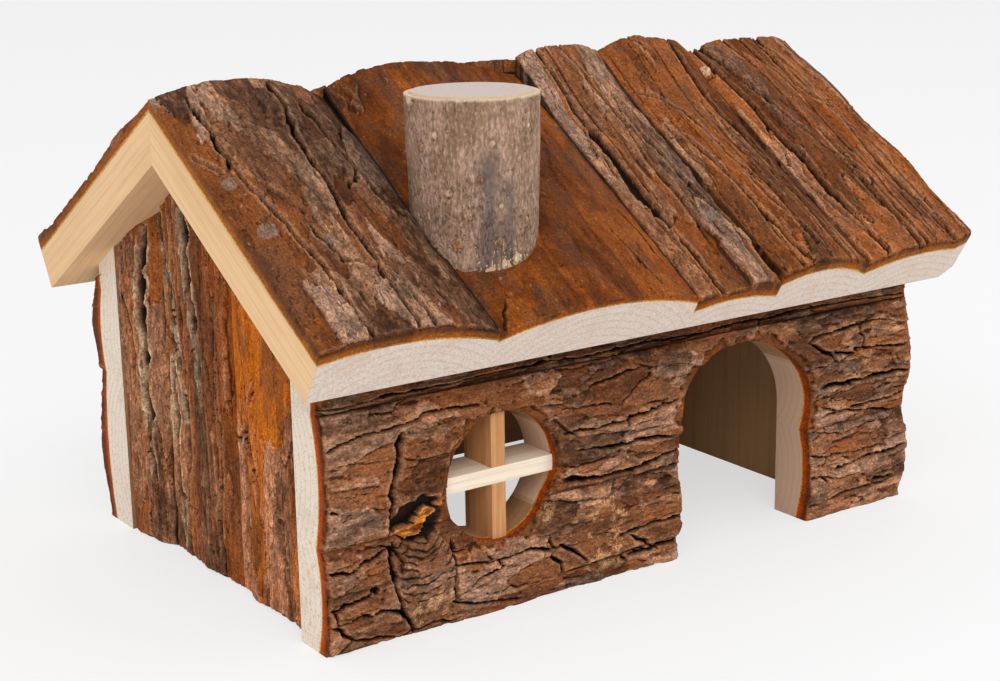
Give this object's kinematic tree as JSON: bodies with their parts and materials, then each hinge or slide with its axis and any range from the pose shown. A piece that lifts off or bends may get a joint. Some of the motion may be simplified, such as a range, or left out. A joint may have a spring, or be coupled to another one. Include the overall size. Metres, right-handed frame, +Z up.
{
  "type": "wooden hamster house",
  "caption": "Small animal house of bark-faced slab boards with a ridged roof, an arched doorway, a round barred window and a branch-stub chimney.",
  "frame": {"origin": "on the ground under the middle of the roof", "axes": "+X along the ridge, to the right as seen from the front; -Y to the front, where the doorway is; +Z up"},
  "size_m": [0.2188, 0.1713, 0.1387],
  "materials": {
    "board_wood": "sawn softwood, not coated",
    "bark": "natural rough bark in plates and furrows",
    "branch_wood": "sawn end of a branch",
    "branch_bark": "thin smooth young bark",
    "bar_wood": "planed softwood",
    "steel": "bright wire nails and a zinc screw"
  },
  "bodies": {
    "root": {"back_wall_brads": "steel", "back_wall_lower": "board_wood", "back_wall_lower_bark": "bark", "back_wall_middle": "board_wood", "back_wall_middle_bark": "bark", "back_wall_top": "board_wood", "back_wall_top_bark": "bark", "chimney": "branch_wood", "chimney_bark": "branch_bark", "chimney_screw": "steel", "front_wall_brads": "steel", "front_wall_lower_left": "board_wood", "front_wall_lower_left_bark": "bark", "front_wall_lower_right": "board_wood", "front_wall_lower_right_bark": "bark", "front_wall_middle": "board_wood", "front_wall_middle_bark": "bark", "front_wall_top": "board_wood", "front_wall_top_bark": "bark", "left_gable_front": "board_wood", "left_gable_front_bark": "bark", "left_gable_middle": "board_wood", "left_gable_middle_bark": "bark", "left_gable_rear": "board_wood", "left_gable_rear_bark": "bark", "right_gable_front": "board_wood", "right_gable_front_bark": "bark", "right_gable_middle": "board_wood", "right_gable_middle_bark": "bark", "right_gable_rear": "board_wood", "right_gable_rear_bark": "bark", "roof_back_1": "board_wood", "roof_back_1_bark": "bark", "roof_back_2": "board_wood", "roof_back_2_bark": "bark", "roof_back_3": "board_wood", "roof_back_3_bark": "bark", "roof_back_4": "board_wood", "roof_back_4_bark": "bark", "roof_back_5": "board_wood", "roof_back_5_bark": "bark", "roof_back_brads": "steel", "roof_front_1": "board_wood", "roof_front_1_bark": "bark", "roof_front_2": "board_wood", "roof_front_2_bark": "bark", "roof_front_3": "board_wood", "roof_front_3_bark": "bark", "roof_front_4": "board_wood", "roof_front_4_bark": "bark", "roof_front_5": "board_wood", "roof_front_5_bark": "bark", "roof_front_brads": "steel", "window_bar_horizontal": "bar_wood", "window_bar_upright": "bar_wood"}
  },
  "joints": []
}
